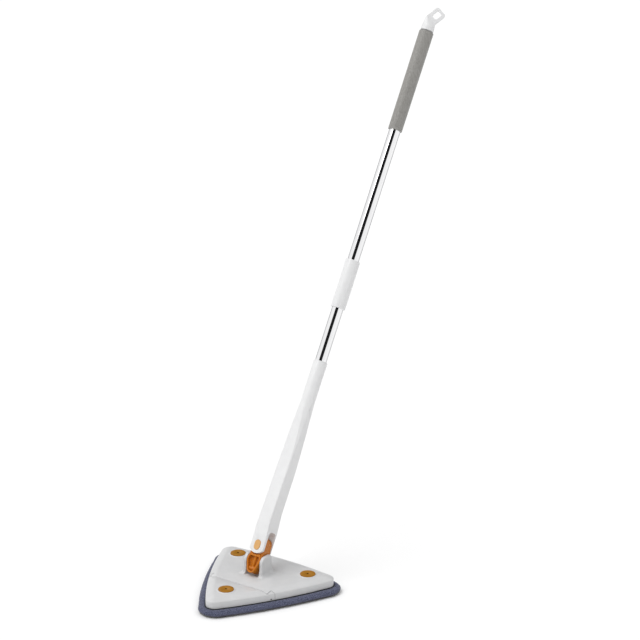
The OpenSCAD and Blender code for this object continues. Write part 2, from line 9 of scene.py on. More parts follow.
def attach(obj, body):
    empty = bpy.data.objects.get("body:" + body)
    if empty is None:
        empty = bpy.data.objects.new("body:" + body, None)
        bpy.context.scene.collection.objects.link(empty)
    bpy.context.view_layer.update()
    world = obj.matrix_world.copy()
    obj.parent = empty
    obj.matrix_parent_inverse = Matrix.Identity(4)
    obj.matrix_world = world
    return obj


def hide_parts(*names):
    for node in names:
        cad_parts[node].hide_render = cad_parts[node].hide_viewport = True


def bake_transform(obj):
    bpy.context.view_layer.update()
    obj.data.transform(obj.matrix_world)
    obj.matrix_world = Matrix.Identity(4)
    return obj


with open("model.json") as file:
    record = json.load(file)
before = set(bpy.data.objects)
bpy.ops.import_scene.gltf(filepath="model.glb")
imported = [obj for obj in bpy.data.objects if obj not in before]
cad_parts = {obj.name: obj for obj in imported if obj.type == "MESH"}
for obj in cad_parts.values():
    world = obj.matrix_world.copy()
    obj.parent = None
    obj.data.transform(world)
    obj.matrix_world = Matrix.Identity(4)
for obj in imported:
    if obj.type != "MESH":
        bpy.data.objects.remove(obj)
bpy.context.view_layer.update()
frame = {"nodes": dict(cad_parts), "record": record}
nodes = frame["nodes"]
mm = 0.001


def deselectAll():
    if bpy.context.object and bpy.context.object.mode != "OBJECT":
        bpy.ops.object.mode_set(mode="OBJECT")
    bpy.ops.object.select_all(action="DESELECT")


def makeActive(piece):
    deselectAll()
    piece.select_set(True)
    bpy.context.view_layer.objects.active = piece


def startEditing(piece, mode="VERT"):
    makeActive(piece)
    bpy.ops.object.mode_set(mode="EDIT")
    bpy.ops.mesh.select_mode(type=mode)
    bpy.ops.mesh.select_all(action="DESELECT")


def stopEditing():
    bpy.ops.object.mode_set(mode="OBJECT")


def pickVerts(piece, test):
    mesh = bmesh.from_edit_mesh(piece.data)
    bpy.ops.mesh.select_all(action="DESELECT")
    for vert in mesh.verts:
        if test(vert.co / mm):
            vert.select_set(True)
    mesh.select_flush(True)
    bmesh.update_edit_mesh(piece.data)


def pickEdges(piece, test):
    mesh = bmesh.from_edit_mesh(piece.data)
    bpy.ops.mesh.select_all(action="DESELECT")
    for edge in mesh.edges:
        if test(edge.verts[0].co / mm, edge.verts[1].co / mm):
            edge.select_set(True)
    bmesh.update_edit_mesh(piece.data)


def pickFaces(piece, test):
    mesh = bmesh.from_edit_mesh(piece.data)
    bpy.ops.mesh.select_all(action="DESELECT")
    for face in mesh.faces:
        if test(face.calc_center_median() / mm, face.normal):
            face.select_set(True)
    bmesh.update_edit_mesh(piece.data)


def applyPlace(piece):
    makeActive(piece)
    bpy.ops.object.transform_apply(location=True, rotation=True, scale=True)


def addBox(name, low, high):
    middle = [(a + b) / 2 * mm for a, b in zip(low, high)]
    deselectAll()
    bpy.ops.mesh.primitive_cube_add(size=1, location=middle)
    piece = bpy.context.object
    piece.name = name
    piece.scale = [(b - a) * mm for a, b in zip(low, high)]
    applyPlace(piece)
    return piece


def addRod(name, start, end, radius, sides=48):
    start, end = Vector(start), Vector(end)
    deselectAll()
    bpy.ops.mesh.primitive_cylinder_add(vertices=sides, radius=radius * mm,
                                        depth=(end - start).length * mm)
    piece = bpy.context.object
    piece.name = name
    turn = (end - start).to_track_quat("Z", "Y").to_matrix().to_4x4()
    piece.matrix_world = Matrix.Translation((start + end) / 2 * mm) @ turn
    applyPlace(piece)
    return piece


def cutWith(piece, cutter, how="DIFFERENCE"):
    makeActive(piece)
    cut = piece.modifiers.new("cut", "BOOLEAN")
    cut.operation = how
    cut.solver = "EXACT"
    cut.object = cutter
    bpy.ops.object.modifier_apply(modifier=cut.name)
    bpy.data.objects.remove(cutter, do_unlink=True)


def startPoint(name, place):
    # a tiny plane cut down to one vertex
    deselectAll()
    bpy.ops.mesh.primitive_plane_add(size=mm)
    piece = bpy.context.object
    piece.name = name
    piece.location = Vector(place) * mm + Vector((mm / 2, mm / 2, 0))
    applyPlace(piece)
    startEditing(piece)
    pickVerts(piece, lambda co: (co - Vector(place)).length > 0.5)
    bpy.ops.mesh.delete(type="VERT")
    return piece


def drawChain(name, points):
    piece = startPoint(name, points[0])
    bpy.ops.mesh.select_all(action="SELECT")
    for here, there in zip(points, points[1:]):
        step = (Vector(there) - Vector(here)) * mm
        bpy.ops.mesh.extrude_region_move(TRANSFORM_OT_translate={"value": step})
    return piece


def closeMesh(smoothAngle=35):
    bpy.ops.mesh.select_all(action="SELECT")
    bpy.ops.mesh.remove_doubles(threshold=0.000002)
    bpy.ops.mesh.normals_make_consistent(inside=False)
    stopEditing()
    bpy.ops.object.shade_smooth_by_angle(angle=math.radians(smoothAngle))


def turnShape(name, profile, steps=96, smoothAngle=35):
    piece = drawChain(name, [(r, 0, z) for r, z in profile])
    bpy.ops.mesh.select_all(action="SELECT")
    bpy.ops.mesh.spin(steps=steps, angle=-2 * math.pi, center=(0, 0, 0), axis=(0, 0, 1))
    closeMesh(smoothAngle)
    return piece


def moveTo(piece, matrix):
    piece.matrix_world = matrix
    applyPlace(piece)
    return piece


def copyPiece(piece, name):
    double = piece.copy()
    double.data = piece.data.copy()
    double.name = name
    bpy.context.scene.collection.objects.link(double)
    return double


def joinPieces(first, *others):
    deselectAll()
    for piece in others:
        piece.select_set(True)
    first.select_set(True)
    bpy.context.view_layer.objects.active = first
    bpy.ops.object.join()
    return first


def copyOfNode(name, node):
    # the frame's node stays as it is, and its copy is merged before it is shaped
    piece = nodes[node].copy()
    piece.data = nodes[node].data.copy()
    piece.name = name
    piece.parent = None
    for key in list(piece.keys()):
        if key.startswith("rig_"):
            del piece[key]
    bpy.context.scene.collection.objects.link(piece)
    startEditing(piece)
    bpy.ops.mesh.select_all(action="SELECT")
    bpy.ops.mesh.remove_doubles(threshold=0.000005)
    stopEditing()
    return piece


def softMoulding(piece, voxel, rounds):
    makeActive(piece)
    remesh = piece.modifiers.new("skin", "REMESH")
    remesh.mode = "VOXEL"
    remesh.voxel_size = voxel * mm
    remesh.use_smooth_shade = True
    bpy.ops.object.modifier_apply(modifier=remesh.name)
    smooth = piece.modifiers.new("soft", "SMOOTH")
    smooth.factor = 0.5
    smooth.iterations = rounds
    bpy.ops.object.modifier_apply(modifier=smooth.name)


def useMaterial(piece, material):
    piece.data.materials.clear()
    piece.data.materials.append(material)


def finishPiece(piece, body, material, slotName, *replaced):
    useMaterial(piece, material)
    if body:
        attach(piece, body)
    if replaced:
        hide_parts(*replaced)


cameraPlace = {"aim": Vector((0, 0, 0.0340)), "distance": 5.5, "side": 37.37, "height": 24.34,
               "heading": 35.83, "tilt": 18.70, "lens": 144.36}


def makeCamera():
    side, height = (math.radians(cameraPlace[key]) for key in ("side", "height"))
    back = Vector((math.sin(side) * math.cos(height), -math.cos(side) * math.cos(height),
                   math.sin(height)))
    bpy.ops.object.camera_add(location=cameraPlace["aim"] + back * cameraPlace["distance"])
    camera = bpy.context.object
    camera.name = "viewCamera"
    camera.rotation_euler = (math.radians(90 - cameraPlace["tilt"]), 0,
                             math.radians(cameraPlace["heading"]))
    camera.data.sensor_width = 36
    camera.data.lens = cameraPlace["lens"]
    camera.data.clip_end = 100
    bpy.context.scene.camera = camera


studio = {"sky": 0.98, "dimmer": 0.9, "horizon": 0.11, "fullFrom": 0.6, "key": 1.2, "keyAngle": 45,
          "keyFrom": Vector((-0.24, -0.42, 0.87)), "floor": 0.93,
          "gapAcross": Vector((-0.933, -0.304, 0.193)), "gapWidth": 0.46, "gapEdge": 0.05,
          "gapShade": (0.012, 0.012, 0.013), "bright": (1, 1, 1)}


def makeWorld():
    world = bpy.data.worlds.new("studioRoom")
    bpy.context.scene.world = world
    world.use_nodes = True
    tree = world.node_tree

    def add(kind, **settings):
        node = tree.nodes.new("ShaderNode" + kind)
        for key, value in settings.items():
            setattr(node, key, value)
        return node

    def calculate(operation, *values):
        node = add("Math", operation=operation)
        for socket, value in zip(node.inputs, values):
            tree.links.new(value, socket)
        return node.outputs[0]

    def remap(value, low, high, atLow, atHigh):
        node = add("MapRange")
        levels = {"From Min": low, "From Max": high, "To Min": atLow, "To Max": atHigh}
        for key, level in levels.items():
            node.inputs[key].default_value = level
        tree.links.new(value, node.inputs["Value"])
        return node.outputs[0]

    def mixColours(share, first, second):
        node = add("Mix", data_type="RGBA")
        tree.links.new(share, node.inputs[0])
        tree.links.new(first, node.inputs[6])
        node.inputs[7].default_value = (*second, 1)
        return node.outputs[2]

    around = add("TexCoord").outputs["Generated"]
    rays = add("LightPath").outputs
    # the light that falls on the object fades toward the horizon
    split = add("SeparateXYZ")
    tree.links.new(around, split.inputs[0])
    climb = remap(split.outputs["Z"], 0.0, studio["fullFrom"], studio["horizon"], studio["dimmer"])
    direct = calculate("MAXIMUM", rays["Is Camera Ray"], rays["Is Glossy Ray"])
    lit = mixColours(direct, climb, studio["bright"])
    # only reflections see the dark gap between the studio's lamps
    across = add("VectorMath", operation="DOT_PRODUCT")
    across.inputs[1].default_value = studio["gapAcross"]
    tree.links.new(around, across.inputs[0])
    size = calculate("ABSOLUTE", across.outputs["Value"])
    width = studio["gapWidth"]
    gap = remap(size, width, width + studio["gapEdge"], 1.0, 0.0)
    seen = calculate("MULTIPLY", gap, rays["Is Glossy Ray"])
    back = tree.nodes["Background"]
    back.inputs["Strength"].default_value = studio["sky"]
    tree.links.new(mixColours(seen, lit, studio["gapShade"]), back.inputs["Color"])
    bpy.context.scene.view_settings.view_transform = "Standard"


def makeStage():
    bpy.ops.object.light_add(type="SUN", location=(-2, -4, 3))
    key = bpy.context.object
    key.name = "keyLight"
    key.data.energy = studio["key"]
    key.data.angle = math.radians(studio["keyAngle"])
    key.rotation_euler = studio["keyFrom"].to_track_quat("Z", "Y").to_euler()
    deselectAll()
    bpy.ops.mesh.primitive_plane_add(size=80, location=(0, 0, -0.0002))
    floor = bpy.context.object
    floor.name = "studioFloor"
    material, shader = startMaterial("floorPaper", {"Roughness": 0.95, "Specular IOR Level": 0.0})
    level = studio["floor"]
    speckle(material, shader, 3.0, (level,) * 3, (level * 0.99,) * 3)
    useMaterial(floor, material)


def startMaterial(name, sockets):
    material = bpy.data.materials.new(name)
    material.use_nodes = True
    shader = material.node_tree.nodes["Principled BSDF"]
    for socket, value in sockets.items():
        shader.inputs[socket].default_value = value
    return material, shader


def addNoise(material, scale, detail=4.0, roughness=0.55, stretch=(1, 1, 1), turn=(0, 0, 0)):
    tree = material.node_tree
    place = tree.nodes.new("ShaderNodeTexCoord")
    mapping = tree.nodes.new("ShaderNodeMapping")
    mapping.inputs["Scale"].default_value = stretch
    mapping.inputs["Rotation"].default_value = turn
    noise = tree.nodes.new("ShaderNodeTexNoise")
    noise.inputs["Scale"].default_value = scale
    noise.inputs["Detail"].default_value = detail
    noise.inputs["Roughness"].default_value = roughness
    tree.links.new(place.outputs["Object"], mapping.inputs["Vector"])
    tree.links.new(mapping.outputs["Vector"], noise.inputs["Vector"])
    return noise.outputs["Fac"]


def mixColours(material, factor, first, second, low=0.35, high=0.65):
    tree = material.node_tree
    ramp = tree.nodes.new("ShaderNodeValToRGB")
    ramp.color_ramp.elements[0].position = low
    ramp.color_ramp.elements[1].position = high
    ramp.color_ramp.elements[0].color = (*first, 1)
    ramp.color_ramp.elements[1].color = (*second, 1)
    tree.links.new(factor, ramp.inputs["Fac"])
    return ramp.outputs["Color"]


def addBump(material, shader, height, strength, distance):
    tree = material.node_tree
    bump = tree.nodes.new("ShaderNodeBump")
    bump.inputs["Strength"].default_value = strength
    bump.inputs["Distance"].default_value = distance
    tree.links.new(height, bump.inputs["Height"])
    tree.links.new(bump.outputs["Normal"], shader.inputs["Normal"])
    return bump


def varyRoughness(material, shader, factor, low, high):
    tree = material.node_tree
    spread = tree.nodes.new("ShaderNodeMapRange")
    spread.inputs["From Min"].default_value = 0.3
    spread.inputs["From Max"].default_value = 0.7
    spread.inputs["To Min"].default_value = low
    spread.inputs["To Max"].default_value = high
    tree.links.new(factor, spread.inputs["Value"])
    tree.links.new(spread.outputs[0], shader.inputs["Roughness"])


def speckle(material, shader, scale, first, second):
    colour = mixColours(material, addNoise(material, scale), first, second)
    material.node_tree.links.new(colour, shader.inputs["Base Color"])


def makePlastic(name, first, second, rough=(0.3, 0.38), scale=45.0, grain=0.03, more=None):
    material, shader = startMaterial(name, {"Specular IOR Level": 0.45, **(more or {})})
    speckle(material, shader, scale, first, second)
    varyRoughness(material, shader, addNoise(material, 220.0), *rough)
    addBump(material, shader, addNoise(material, 1800.0, 2.0), grain, 0.0001)
    return material


def addPaintedPitShade(material):
    # painted shade down in the screw hole
    tree = material.node_tree
    shader = tree.nodes["Principled BSDF"]
    painted = shader.inputs["Base Color"].links[0].from_socket
    pit = tree.nodes.new("ShaderNodeAttribute")
    pit.attribute_name = "pitShade"
    dark = tree.nodes.new("ShaderNodeMix")
    dark.data_type = "RGBA"
    dark.inputs[7].default_value = (0.03, 0.012, 0.002, 1)
    tree.links.new(pit.outputs["Fac"], dark.inputs[0])
    tree.links.new(painted, dark.inputs[6])
    tree.links.new(dark.outputs[2], shader.inputs["Base Color"])


def makeMaterials():
    looks = {}
    looks["white"] = makePlastic("whitePlastic", (0.60, 0.602, 0.607), (0.632, 0.633, 0.637))
    # a lighter copy of the same white plastic: painted light, so the pole's white pieces read
    # brighter than the head covers
    looks["bright"] = makePlastic("whitePlasticPaintedLighter", (0.77, 0.772, 0.777), (0.80, 0.802, 0.806))
    looks["pale"] = makePlastic("palePlastic", (0.50, 0.50, 0.505), (0.54, 0.54, 0.545),
                                rough=(0.45, 0.55), grain=0.08)
    looks["orange"] = makePlastic("orangePlastic", (0.50, 0.150, 0.006), (0.57, 0.180, 0.010),
                                  rough=(0.22, 0.32), more={"Specular IOR Level": 0.3})
    looks["disc"] = makePlastic("goldenPlastic", (0.34, 0.145, 0.009), (0.40, 0.175, 0.014),
                                rough=(0.35, 0.45), more={"Specular IOR Level": 0.3})
    addPaintedPitShade(looks["disc"])
    looks["button"] = makePlastic("palerOrangePlastic", (0.66, 0.36, 0.125), (0.71, 0.40, 0.15),
                                  rough=(0.3, 0.4))
    looks["rubber"] = makePlastic("blackRubber", (0.018, 0.018, 0.018), (0.03, 0.03, 0.03),
                                  rough=(0.7, 0.85), grain=0.2)

    chrome, shader = startMaterial("polishedTube", {"Metallic": 1.0,
                                                    "Specular Tint": (0.16, 0.16, 0.17, 1)})
    speckle(chrome, shader, 12.0, (0.86, 0.86, 0.87), (0.90, 0.90, 0.905))
    leanTurn = (math.radians(poleLine["lean"]), 0, 0)
    streaks = addNoise(chrome, 60.0, 3.0, stretch=(14, 14, 0.4), turn=leanTurn)
    varyRoughness(chrome, shader, streaks, 0.035, 0.075)
    looks["chrome"] = chrome

    steel, shader = startMaterial("turnedSteel", {"Metallic": 1.0})
    speckle(steel, shader, 300.0, (0.42, 0.42, 0.43), (0.55, 0.55, 0.56))
    varyRoughness(steel, shader, addNoise(steel, 900.0), 0.25, 0.42)
    looks["steel"] = steel

    foam, shader = startMaterial("gripFoam", {"Specular IOR Level": 0.5})
    grain = addNoise(foam, 160.0, 5.0, 0.6, stretch=(3, 3, 0.25), turn=leanTurn)
    colour = mixColours(foam, grain, (0.225, 0.218, 0.203), (0.34, 0.332, 0.315), 0.3, 0.7)
    foam.node_tree.links.new(colour, shader.inputs["Base Color"])
    varyRoughness(foam, shader, addNoise(foam, 400.0), 0.4, 0.55)
    addBump(foam, shader, addNoise(foam, 1500.0, 6.0, 0.7), 0.5, 0.0003)
    looks["foam"] = foam

    looks["hooks"] = makeHookTape()
    looks["fabric"] = makePadFabric()
    return looks


def makeHookTape():
    material, shader = startMaterial("hookTape", {"Roughness": 0.9, "Specular IOR Level": 0.2})
    speckle(material, shader, 2500.0, (0.006, 0.006, 0.007), (0.03, 0.03, 0.033))
    addBump(material, shader, addNoise(material, 3000.0, 2.0), 0.8, 0.0004)
    return material


def makePadFabric():
    material, shader = startMaterial("knittedPad", {"Roughness": 0.95, "Specular IOR Level": 0.15,
                                                    "Sheen Weight": 0.25, "Sheen Roughness": 0.45})
    tree = material.node_tree
    heather = mixColours(material, addNoise(material, 520.0, 3.0, 0.6, stretch=(1, 1, 1.6)),
                         (0.030, 0.034, 0.062), (0.145, 0.155, 0.235), 0.38, 0.62)
    pile = mixColours(material, addNoise(material, 420.0, 4.0, 0.7),
                      (0.035, 0.034, 0.040), (0.11, 0.106, 0.118), 0.38, 0.64)
    place = tree.nodes.new("ShaderNodeAttribute")
    place.attribute_name = "pileShare"
    mix = tree.nodes.new("ShaderNodeMix")
    mix.data_type = "RGBA"
    tree.links.new(place.outputs["Fac"], mix.inputs[0])
    tree.links.new(heather, mix.inputs[6])
    tree.links.new(pile, mix.inputs[7])
    # near-black paint: hook fabric on the pad's top under the covers, and painted shade in the band
    # just outside them, where the gap under the covers is dark
    hooks = tree.nodes.new("ShaderNodeAttribute")
    hooks.attribute_name = "hookAndShadeShare"
    dark = tree.nodes.new("ShaderNodeMix")
    dark.data_type = "RGBA"
    dark.inputs[7].default_value = (0.006, 0.006, 0.008, 1)
    tree.links.new(hooks.outputs["Fac"], dark.inputs[0])
    tree.links.new(mix.outputs[2], dark.inputs[6])
    tree.links.new(dark.outputs[2], shader.inputs["Base Color"])
    fine = addNoise(material, 1400.0, 4.0, 0.7)
    addBump(material, shader, fine, 0.6, 0.0006)
    return material


headShape = {"side": 101.0, "bow": 920.0, "corner": 20.0, "low": 16.2, "wall": 13.0, "shell": 2.5,
             "seam": 65.0, "seamGap": 0.8, "lugFrom": 77.0, "lugBack": -52.0, "lugGap": 1.4,
             "hingeY": -58.5, "hingeZ": 18.2, "pin": 1.9,
             # how far in from the wall, and how high above it
             "crown": [(0.3, 1.1), (0.9, 1.8), (1.8, 2.3), (4.5, 3.4), (9.0, 4.95), (13.0, 6.1),
                       (16.5, 6.8), (18.8, 7.0)]}


def bowedOutline(name, grow, low, high):
    # a short upright edge spun round each corner and then along each bowed side
    side, bow, corner = (headShape[key] + grow for key in ("side", "bow", "corner"))
    out = bow - side
    reach = math.sqrt((bow - corner) ** 2 - (out * math.cos(math.pi / 6)) ** 2) - out / 2
    half = math.atan2(out * math.sin(math.pi / 3), reach + out / 2)
    first = math.radians(-90) - half
    start = (corner * math.cos(first), -reach + corner * math.sin(first), low)
    piece = drawChain(name, [start, (start[0], start[1], high)])
    bpy.ops.mesh.select_all(action="SELECT")
    for degrees in (-90, 30, 150):
        angle = math.radians(degrees)
        middle = Vector((math.cos(angle), math.sin(angle), 0)) * reach * mm
        bpy.ops.mesh.spin(steps=14, angle=-2 * half, center=middle, axis=(0, 0, 1))
        across = angle + math.pi / 3
        middle = Vector((math.cos(across), math.sin(across), 0)) * -out * mm
        bpy.ops.mesh.spin(steps=12, angle=2 * half - 2 * math.pi / 3, center=middle, axis=(0, 0, 1))
    bpy.ops.mesh.select_all(action="SELECT")
    bpy.ops.mesh.remove_doubles(threshold=0.00002)
    for level in (low, high):
        pickVerts(piece, lambda co: abs(co.z - level) < 0.01)
        bpy.ops.mesh.edge_face_add()
    bpy.ops.mesh.select_all(action="SELECT")
    bpy.ops.mesh.normals_make_consistent(inside=False)
    return piece


def makeHeadBlock():
    top = headShape["low"] + headShape["wall"]
    piece = bowedOutline("headBlock", 0, headShape["low"], top)
    bpy.ops.mesh.select_mode(type="FACE")
    pickFaces(piece, lambda co, normal: normal.z > 0.9)
    done = (0.0, 0.0)
    for inward, rise in headShape["crown"]:
        bpy.ops.mesh.inset(thickness=(inward - done[0]) * mm, depth=(rise - done[1]) * mm,
                           use_even_offset=True)
        done = (inward, rise)
    stopEditing()
    return piece


def hollowOut(piece):
    # a cavity under the cover, as a moulded shell has
    startEditing(piece, "FACE")
    pickFaces(piece, lambda co, normal: normal.z < -0.9 and co.z < headShape["low"] + 0.1)
    bpy.ops.mesh.inset(thickness=headShape["shell"] * mm, use_even_offset=True)
    bpy.ops.mesh.extrude_region_move(
        TRANSFORM_OT_translate={"value": (0, 0, (headShape["wall"] - 1.5) * mm)})
    stopEditing()


def softenSeam(piece, seamY):
    startEditing(piece, "EDGE")
    pickEdges(piece, lambda a, b: abs(a.y - seamY) < 0.02 and abs(b.y - seamY) < 0.02
              and min(a.z, b.z) > headShape["low"] + 3 and abs(a.x - b.x) > 0.1)
    bpy.ops.mesh.bevel(offset=0.6 * mm, segments=2, affect="EDGES")
    stopEditing()


earShape = {"inner": 17.6, "outer": 25.0, "round": 14.0, "back": 21.0, "backRound": 8.0,
            "pivot": 65.0, "plate": 36.2, "fillet": 9.0, "spread": 2.0, "edge": 2.0,
            "swingRoom": 32.75, "swingSide": 0.15}


def makeEar(name):
    ear = earShape
    shoulder = 60.0
    piece = addBox(name, (ear["inner"], -ear["round"], shoulder),
                   (ear["outer"], ear["back"], ear["pivot"] + ear["round"]))
    startEditing(piece, "EDGE")
    top = ear["pivot"] + ear["round"]
    for side, size in ((-1, ear["round"] - 0.05), (1, ear["backRound"])):
        pickEdges(piece, lambda a, b: min(a.z, b.z) > top - 0.1 and abs(a.x - b.x) > 1
                  and a.y * side > 3 and b.y * side > 3)
        bpy.ops.mesh.bevel(offset=size * mm, segments=14, affect="EDGES")
    pickEdges(piece, lambda a, b: min(a.x, b.x) > ear["outer"] - 0.01
              and max(a.z, b.z) > shoulder + 0.1)
    bpy.ops.mesh.bevel(offset=ear["edge"] * mm, segments=4, affect="EDGES")
    pickEdges(piece, lambda a, b: max(a.x, b.x) < ear["inner"] + 0.01
              and max(a.z, b.z) > shoulder + 0.1)
    bpy.ops.mesh.bevel(offset=0.7 * mm, segments=2, affect="EDGES")
    # the foot is drawn down ring by ring and swept out into the plate
    bpy.ops.mesh.select_mode(type="FACE")
    pickFaces(piece, lambda co, normal: normal.z < -0.9)
    middle = (ear["back"] - ear["round"]) / 2
    wide, deep, level = ear["outer"] - ear["inner"], (ear["back"] + ear["round"]) / 2, shoulder
    half = deep
    radius = ear["fillet"]
    rings = [(52.0, 0.15, 0.3), (ear["plate"] + radius, 0.4, ear["spread"])]
    for height in (6.8, 5.0, 3.5, 2.3, 1.4, 0.7, 0.25, 0.02):
        out = radius - math.sqrt(radius ** 2 - (radius - height) ** 2)
        rings.append((ear["plate"] + height, 0.4 + out, ear["spread"] + out))
    rings.append((ear["plate"] - 1.0, rings[-1][1], rings[-1][2]))
    for z, moreWide, moreDeep in rings:
        bpy.ops.mesh.extrude_region_move(TRANSFORM_OT_translate={"value": (0, 0, (z - level) * mm)})
        newWide = ear["outer"] - ear["inner"] + moreWide
        newDeep = half + moreDeep
        bpy.ops.transform.resize(value=(newWide / wide, newDeep / deep, 1),
                                 center_override=(ear["inner"] * mm, middle * mm, z * mm))
        wide, deep, level = newWide, newDeep, z
    closeMesh(50)
    return piece


discShape = {"places": {"left": (149, 109.0), "right": (31, 109.0), "tip": (-90, 107.0)},
             "seat": 36.4,
             "pit": 2.4,
             "profile": [(0, 0.4), (2.1, 0.4), (2.1, 2.4), (2.5, 2.7), (3.6, 2.75), (4.1, 3.0),
                         (15.4, 3.0), (16.1, 2.8), (16.5, 2.2), (16.5, 0.1), (0, 0.1)],
             "rim": [(16.65, -1.0), (16.65, 0.9), (16.95, 1.25), (17.6, 1.3), (18.3, 1.1),
                     (18.95, 0.55), (19.7, 0.02), (20.9, -0.17), (20.9, -1.0)]}


def discPlace(which):
    angle, place = discShape["places"][which]
    angle = math.radians(angle)
    return Matrix.Translation(Vector((place * math.cos(angle), place * math.sin(angle),
                                      discShape["seat"])) * mm)


def makeHead(looks):
    block = makeHeadBlock()
    lug, back = headShape["lugFrom"], headShape["lugBack"]
    front = -headShape["seam"] - headShape["seamGap"]
    hingeLine = [(-200, headShape["hingeY"], headShape["hingeZ"]),
                 (200, headShape["hingeY"], headShape["hingeZ"])]
    # the tip keeps its hinge lugs, which reach back past the seam
    lugs = []
    for low, high in ((-300, -lug), (lug, 300)):
        piece = copyPiece(block, f"hingeLug{len(lugs)}")
        cutWith(piece, addBox("cutter", (low, front, 0), (high, back, 100)), "INTERSECT")
        cutWith(piece, addRod("cutter", *hingeLine, headShape["pin"]))
        lugs.append(piece)
    tip = copyPiece(block, "tipCover")
    cutWith(tip, addBox("cutter", (-300, front, 0), (300, 300, 100)))
    main = block
    main.name = "mainCover"
    cutWith(main, addBox("cutter", (-300, -400, 0), (300, -headShape["seam"], 100)))
    hollowOut(main)
    hollowOut(tip)
    gap = headShape["lugGap"]
    for low, high in ((-300, gap - lug), (lug - gap, 300)):
        cutWith(main, addBox("cutter", (low, -80, 0), (high, back + gap, 100)))
    softenSeam(main, -headShape["seam"])
    softenSeam(tip, front)
    cutWith(main, addRod("cutter", *hingeLine, headShape["pin"]))
    joinPieces(tip, *lugs)
    half = earShape["inner"] + earShape["swingSide"]
    cutWith(main, addRod("cutter", (-half, 0, earShape["pivot"]), (half, 0, earShape["pivot"]),
                         earShape["swingRoom"], 128))
    for piece in (main, tip):
        makeActive(piece)
        bpy.ops.object.shade_smooth_by_angle(angle=math.radians(28))

    ear = makeEar("earRight")
    other = copyPiece(ear, "earLeft")
    other.scale = (-1, 1, 1)
    applyPlace(other)
    startEditing(other)
    closeMesh(50)
    rims = {}
    for which in discShape["places"]:
        rims[which] = moveTo(turnShape(f"rim{which}", discShape["rim"] + discShape["rim"][:1]),
                             discPlace(which))
    joinPieces(main, ear, other, rims["left"], rims["right"])
    joinPieces(tip, rims["tip"])
    finishPiece(main, "head", looks["white"], "white_plastic", "main_cover")
    finishPiece(tip, "flap", looks["white"], "white_plastic", "flap_cover")
    print("covers made:", len(main.data.polygons), len(tip.data.polygons))

    first = turnShape("goldDisc", discShape["profile"])
    # painted shade: the vertices down in the screw hole are marked to be drawn dark
    shade = first.data.attributes.new("pitShade", "FLOAT", "POINT")
    for vert in first.data.vertices:
        inPit = math.hypot(vert.co.x, vert.co.y) < discShape["pit"] * mm
        shade.data[vert.index].value = float(inPit)
    for which, body in (("left", "head"), ("right", "head"), ("tip", "flap")):
        disc = moveTo(copyPiece(first, f"goldDisc{which.title()}"), discPlace(which))
        finishPiece(disc, body, looks["disc"], "disc_plastic", f"disc_{which}")
    bpy.data.objects.remove(first, do_unlink=True)
    print("discs made")


# filling draws the outline in, so the pad is sewn wider than it ends up
padShape = {"sewnOut": 20.0, "low": 1.6, "high": 13.2, "top": 14.8, "voxel": 4.6,
            "travel": 4.5, "pressure": 4.0, "frames": 20, "seam": 5.0, "seamDepth": 0.9,
            "seamWidth": 1.3, "pile": 0.55, "shadeBandReach": 3.0, "foldHalf": 17.0}


def outlineDistance(x, y):
    # how far a point is inside the covers' outline, in mm, negative outside
    side, bow, corner = headShape["side"], headShape["bow"], headShape["corner"]
    out = bow - side
    reach = math.sqrt((bow - corner) ** 2 - (out * math.cos(math.pi / 6)) ** 2) - out / 2
    half = math.atan2(out * math.sin(math.pi / 3), reach + out / 2)
    inside = 1e9
    for degrees in (-90, 30, 150):
        angle = math.radians(degrees)
        across = angle + math.pi / 3
        middle = Vector((math.cos(across), math.sin(across))) * -out
        inside = min(inside, bow - (Vector((x, y)) - middle).length)
    for degrees in (-90, 30, 150):
        angle = math.radians(degrees)
        away = Vector((x, y)) - Vector((math.cos(angle), math.sin(angle))) * reach
        turn = (math.atan2(away.y, away.x) - angle + math.pi) % (2 * math.pi) - math.pi
        if abs(turn) < half:
            inside = min(inside, corner - away.length)
    return inside


def simulatePad(pad):
    cloth = pad.modifiers.new("fill", "CLOTH")
    settings = cloth.settings
    settings.quality = 5
    settings.mass = 0.3
    settings.tension_stiffness = 12
    settings.compression_stiffness = 12
    settings.bending_stiffness = 0.6
    settings.use_pressure = True
    settings.uniform_pressure_force = padShape["pressure"]
    settings.effector_weights.gravity = 0
    cloth.point_cache.frame_start = 1
    cloth.point_cache.frame_end = padShape["frames"]
    scene = bpy.context.scene
    rest = [vert.co.copy() for vert in pad.data.vertices]
    for number in range(1, padShape["frames"] + 1):
        scene.frame_set(number)
    filled = pad.evaluated_get(bpy.context.evaluated_depsgraph_get())
    moved = [vert.co.copy() for vert in filled.data.vertices]
    pad.modifiers.remove(cloth)
    scene.frame_set(1)
    limit = padShape["travel"] * mm
    for vert, here, there in zip(pad.data.vertices, rest, moved):
        travel = there - here
        if travel.length > limit:
            travel *= limit / travel.length
        vert.co = here + travel


def refinePad(pad):
    makeActive(pad)
    smooth = pad.modifiers.new("finer", "SUBSURF")
    smooth.levels = smooth.render_levels = 1
    bpy.ops.object.modifier_apply(modifier=smooth.name)
    smooth = pad.modifiers.new("finest", "SUBSURF")
    smooth.levels = smooth.render_levels = 1
    bpy.ops.object.modifier_apply(modifier=smooth.name)


